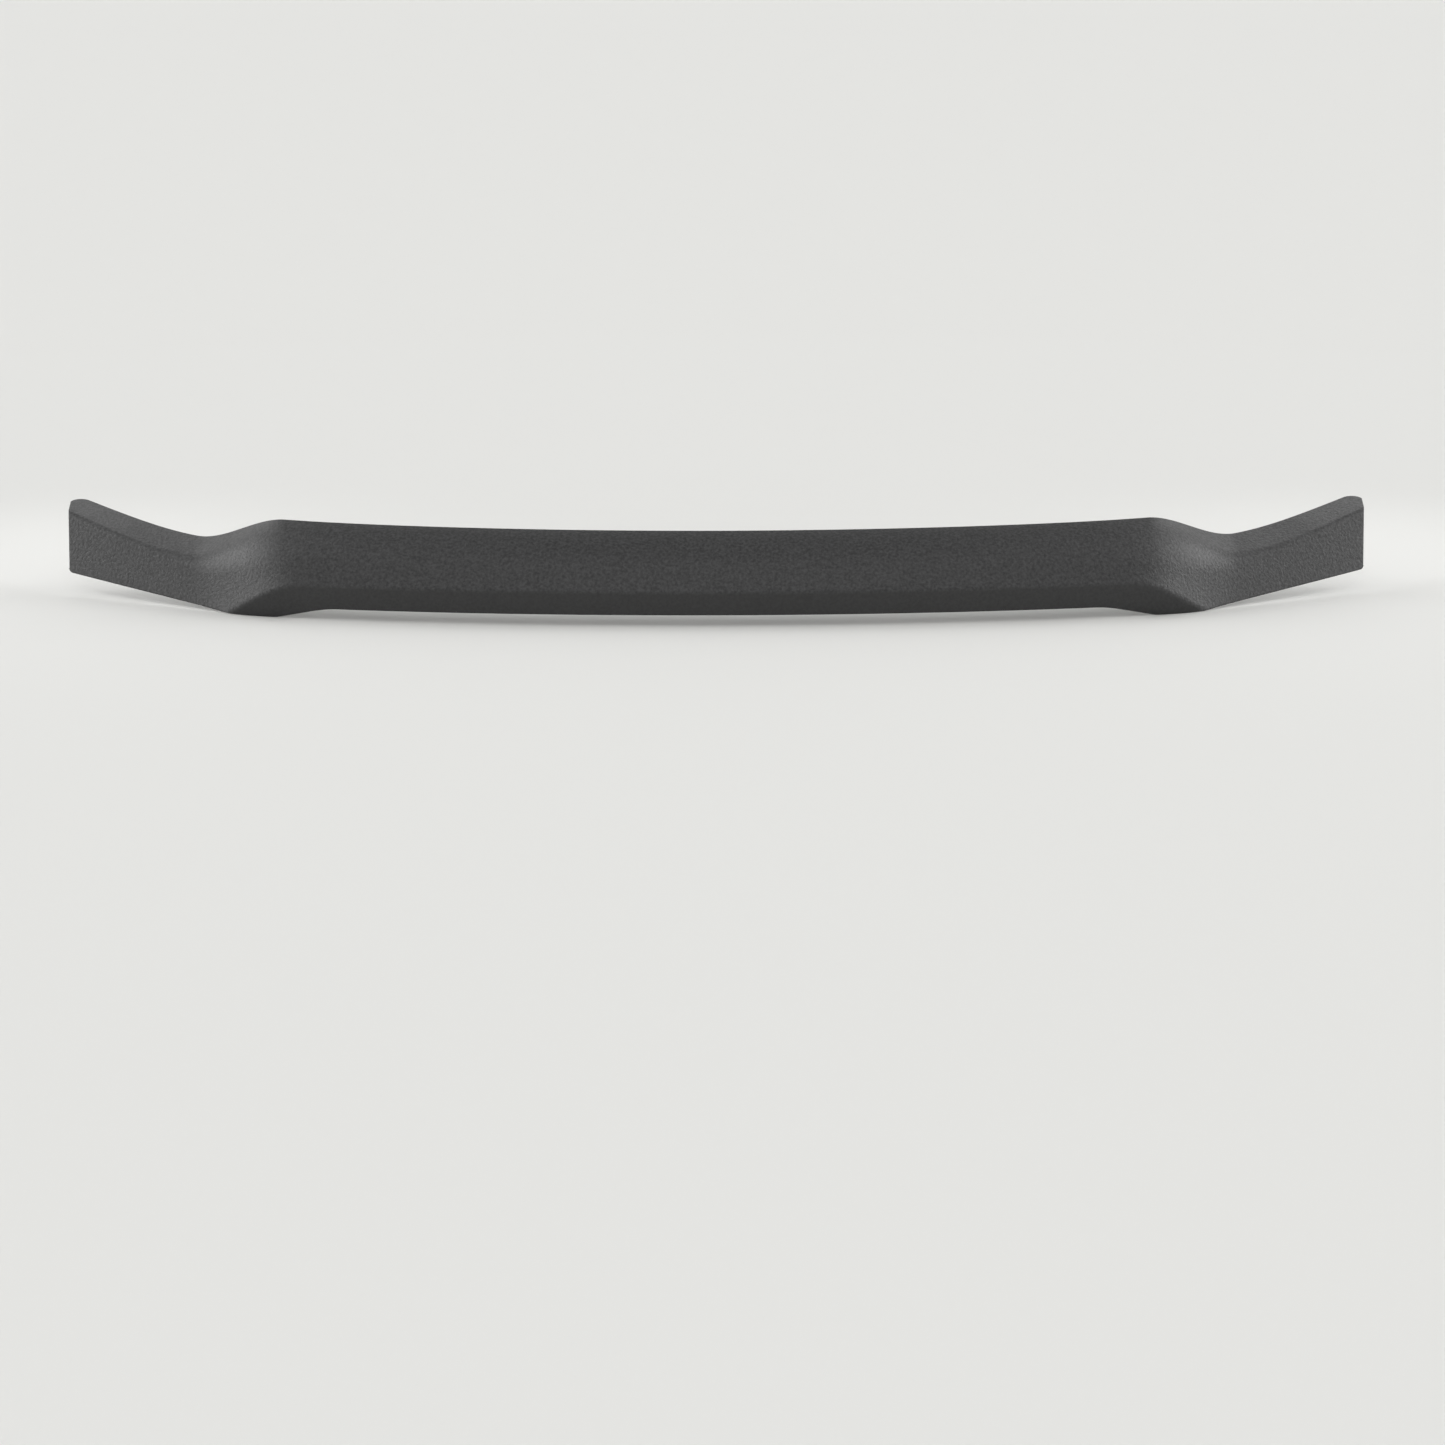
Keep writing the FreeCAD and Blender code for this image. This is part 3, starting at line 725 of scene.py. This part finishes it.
def textured_abs(finish):
    """ABS, moulded in a spark-textured tool: a fine dry grain that scatters its gloss.

    The real grain is about 0.3 mm wide, too fine to show in the render, so it is drawn
    as coarse as it needs to show. The tips of the grain are painted lighter, as painted
    glints. The back is smoother than the face. The chin's grain is drawn weaker and with
    fewer painted glints, which paints shade under the crease.
    """
    patch_scale = 28.0                       # slow changes of gloss, about 36 mm wide
    satin, dry = 0.42, 0.48                  # roughness, from patch to patch
    glint_start, glint_full = 0.32, 0.68         # height of the grain that is painted as a lit tip
    face_glints, shaded_chin_and_back_glints = 1.0, 0.3        # how much the painted glints show, on the face and on the chin and back; fewer on the chin paints shade
    face_relief, smooth_relief = 0.7, 0.25   # how much the grain stands out
    abs_ior = 1.54
    material, tree, out = new_material("Black ABS, spark-textured")
    coordinates = add_node(tree, "ShaderNodeTexCoord").node.outputs["Object"]
    grain = add_node(tree, "ShaderNodeTexNoise", coordinates, None, 1 / finish.grain_size, 2.0,
                     0.6)
    patches = add_node(tree, "ShaderNodeTexNoise", coordinates, None, patch_scale, 2.0, 0.5)
    back = add_node(tree, "ShaderNodeAttribute", attribute_name="back").node.outputs["Fac"]
    chin = add_node(tree, "ShaderNodeAttribute", attribute_name="chin").node.outputs["Fac"]
    # Back and chin: the grain stands out less on both, and the chin's fewer painted glints paint
    # shade there
    smooth = add_node(tree, "ShaderNodeMath", back, chin, operation="MAXIMUM")
    # Painted glints: the grain's tips take a lighter copy of the same plastic
    glint_weight = add_node(
        tree, "ShaderNodeMapRange", smooth, 0.0, 1.0, face_glints, shaded_chin_and_back_glints)
    painted_glints = add_node(tree, "ShaderNodeMapRange", grain, glint_start, glint_full, 0.0, glint_weight)
    mix = add_node(tree, "ShaderNodeMix", painted_glints, data_type="RGBA").node
    base_and_glint_colours = (finish.skin_colour, finish.glint_colour)
    for socket, shade in zip([s for s in mix.inputs if s.type == "RGBA"], base_and_glint_colours):
        socket.default_value = (*shade, 1.0)
    colour = next(socket for socket in mix.outputs if socket.type == "RGBA")
    roughness = add_node(tree, "ShaderNodeMapRange", patches, 0.3, 0.7, satin, dry)
    strength = add_node(
        tree, "ShaderNodeMapRange", smooth, 0.0, 1.0, face_relief, smooth_relief)
    bump = add_node(tree, "ShaderNodeBump").node
    bump.inputs["Distance"].default_value = finish.grain_depth
    tree.links.new(strength, bump.inputs["Strength"])
    tree.links.new(grain, bump.inputs["Height"])
    shader = add_node(tree, "ShaderNodeBsdfPrincipled", colour).node
    tree.links.new(roughness, shader.inputs["Roughness"])
    tree.links.new(bump.outputs[0], shader.inputs["Normal"])
    shader.inputs["IOR"].default_value = abs_ior
    tree.links.new(shader.outputs[0], out.inputs["Surface"])
    return material


def foam_tape(finish):
    """Acrylic foam tape, slit from a roll: dull, with fine closed cells on its cut sides."""
    material, tree, out = new_material("Black acrylic foam")
    coordinates = add_node(tree, "ShaderNodeTexCoord").node.outputs["Object"]
    cells = add_node(tree, "ShaderNodeTexVoronoi", coordinates, None, 1 / finish.foam_cell)
    bump = add_node(tree, "ShaderNodeBump").node
    bump.inputs["Strength"].default_value = 0.5
    bump.inputs["Distance"].default_value = 0.0002
    tree.links.new(cells, bump.inputs["Height"])
    shader = add_node(tree, "ShaderNodeBsdfPrincipled").node
    shader.inputs["Base Color"].default_value = (*finish.foam_colour, 1.0)
    shader.inputs["Roughness"].default_value = 0.9
    tree.links.new(bump.outputs[0], shader.inputs["Normal"])
    tree.links.new(shader.outputs[0], out.inputs["Surface"])
    return material


def floor_paper(studio):
    """Pale background paper, rolled: plain and without gloss."""
    material, tree, out = new_material("Pale studio paper")
    shader = add_node(tree, "ShaderNodeBsdfPrincipled").node
    shader.inputs["Base Color"].default_value = (*studio.floor_colour, 1.0)
    shader.inputs["Roughness"].default_value = 0.95
    shader.inputs["Specular IOR Level"].default_value = 0.1
    tree.links.new(shader.outputs[0], out.inputs["Surface"])
    return material


class DEFLECTOR_OT_moulded_skin(bpy.types.Operator):
    """Makes the moulded skin in place of its CAD solid"""
    bl_idname = "deflector.moulded_skin"
    bl_label = "Moulded Skin"

    def execute(self, context):
        sizes = context.scene.deflector_skin
        material = textured_abs(context.scene.deflector_finish)
        properties = [(SkinSizes.bl_rna.properties[key].name, getattr(sizes, key))
                      for key in SkinSizes.__annotations__]
        values = {name: float(value) for name, value in properties}
        skin = grown_mesh("moulded_skin", skin_tree(material), values)
        if not skin.data.polygons:
            raise RuntimeError("the skin's node tree made no faces")
        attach(skin, BODY)
        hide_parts(SKIN)
        return {"FINISHED"}


class DEFLECTOR_OT_foam_tape(bpy.types.Operator):
    """Finishes the foam tape strips on the back of the skin"""
    bl_idname = "deflector.foam_tape"
    bl_label = "Foam Tape"

    def execute(self, context):
        material = foam_tape(context.scene.deflector_finish)
        for name in TAPES:
            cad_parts[name].data.materials.clear()
            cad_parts[name].data.materials.append(material)
        return {"FINISHED"}


# Where the light comes from, for the right-hand side. The left mirrors it.
FRONT_SOURCE = (0.0, -0.6, 0.8)
SIDE_SOURCE = (1.0, 0.15, 0.42)
RIDGE_SOURCE = (0.6, 0.05, 0.85)
WING_SOURCE = (0.16, 0.42, 0.5)      # the small softbox, in metres from the wing's end
WING_SOFTBOX = 0.35                  # its side
WING_SPREAD = math.radians(100)      # its beam
WALL_TOP, CEILING_EDGE = 0.15, 0.6   # pale walls darken into the ceiling, 1 is straight up
SENSOR = 36.0                        # width of the camera's sensor in mm


def mirrored(source, way):
    """A source for the right-hand side where way is 1, and for the left where it is -1."""
    return Vector((way * source[0], source[1], source[2]))


def add_lamp(name, kind, power, source, place=(0.0, 0.0, 0.0)):
    """Puts a lamp at a place, shining from the direction of its source. Returns it."""
    light = bpy.data.lights.new(name, kind)
    light.energy = power
    lamp = bpy.data.objects.new(name, light)
    lamp.location = place
    lamp.rotation_euler = source.to_track_quat("Z", "Y").to_euler()
    bpy.context.scene.collection.objects.link(lamp)
    return lamp


class DEFLECTOR_OT_studio(bpy.types.Operator):
    """Makes the floor, the soft lights and the camera"""
    bl_idname = "deflector.studio"
    bl_label = "Studio"

    def execute(self, context):
        studio = context.scene.deflector_studio
        half = studio.floor_size / 2
        level = whole_low.z
        corners = [(-half, -half, level), (half, -half, level),
                   (half, half, level), (-half, half, level)]
        mesh = bpy.data.meshes.new("studio_floor")
        mesh.from_pydata(corners, [], [(0, 1, 2, 3)])
        mesh.materials.append(floor_paper(studio))
        floor = bpy.data.objects.new("studio_floor", mesh)
        context.scene.collection.objects.link(floor)
        floor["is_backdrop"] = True
        self.light(context, studio)
        self.camera(context, studio)
        return {"FINISHED"}

    def light(self, context, studio):
        soft = [add_lamp("front", "SUN", studio.front_light, Vector(FRONT_SOURCE))]
        for side, way in (("left", -1.0), ("right", 1.0)):
            soft.append(add_lamp(
                "side_" + side, "SUN", studio.side_light, mirrored(SIDE_SOURCE, way)))
            soft.append(add_lamp(
                "ridge_" + side, "SUN", studio.ridge_light, mirrored(RIDGE_SOURCE, way)))
            source = mirrored(WING_SOURCE, way)
            wing_end = Vector((way * whole_high.x, whole_high.y, 0.0))
            lamp = add_lamp(
                "wing_" + side, "AREA", studio.wing_light, source, wing_end + source)
            lamp.data.size = WING_SOFTBOX
            lamp.data.spread = WING_SPREAD
            lamp.visible_camera = False
        for lamp in soft:
            lamp.data.angle = studio.light_spread
        world = bpy.data.worlds.new("Studio")
        world.use_nodes = True
        tree = world.node_tree
        background = tree.nodes["Background"]
        background.inputs["Color"].default_value = (*studio.floor_colour, 1.0)
        way_out = add_node(tree, "ShaderNodeTexCoord").node.outputs["Generated"]
        height = add_node(tree, "ShaderNodeSeparateXYZ", way_out).node.outputs["Z"]
        strength = add_node(tree, "ShaderNodeMapRange", height, WALL_TOP, CEILING_EDGE, 1.0,
                            studio.ceiling_light, interpolation_type="SMOOTHSTEP")
        tree.links.new(strength, background.inputs["Strength"])
        context.scene.world = world

    def camera(self, context, studio):
        data = bpy.data.cameras.new("camera")
        data.sensor_width = SENSOR
        data.lens = studio.camera_lens
        camera = bpy.data.objects.new("camera", data)
        pitch = Matrix.Rotation(math.pi / 2 - studio.camera_pitch, 4, "X")
        roll = Matrix.Rotation(-studio.camera_roll, 4, "Z")
        place = Vector((studio.camera_aside, -studio.camera_back, studio.camera_height))
        camera.matrix_world = Matrix.Translation(place) @ pitch @ roll
        context.scene.collection.objects.link(camera)
        context.scene.camera = camera
        context.scene.view_settings.view_transform = "Standard"


OPERATORS = (DEFLECTOR_OT_moulded_skin, DEFLECTOR_OT_foam_tape, DEFLECTOR_OT_studio)


class DEFLECTOR_PT_panel(bpy.types.Panel):
    """Lists the deflector's pieces and their sizes"""
    bl_idname = "DEFLECTOR_PT_panel"
    bl_label = "Hood Deflector"
    bl_space_type = "VIEW_3D"
    bl_region_type = "UI"
    bl_category = "Hood Deflector"

    def draw(self, context):
        for operator in OPERATORS:
            self.layout.operator(operator.bl_idname)
        for name, group in SETTINGS:
            box = self.layout.box()
            for key in group.__annotations__:
                box.prop(getattr(context.scene, name), key)


CLASSES = tuple(group for _, group in SETTINGS) + OPERATORS + (DEFLECTOR_PT_panel,)


def register():
    for cls in CLASSES:
        bpy.utils.register_class(cls)
    for name, group in SETTINGS:
        setattr(bpy.types.Scene, name, PointerProperty(type=group))


def unregister():
    for name, _ in SETTINGS:
        delattr(bpy.types.Scene, name)
    for cls in reversed(CLASSES):
        bpy.utils.unregister_class(cls)


def main():
    register()
    bpy.ops.deflector.moulded_skin()
    bpy.ops.deflector.foam_tape()
    bpy.ops.deflector.studio()
    boxes = {
        "cad": [list(corner) for corner in (whole_low, whole_high)],
        "visual": [list(corner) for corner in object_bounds()],
    }


if __name__ == "__main__":
    main()
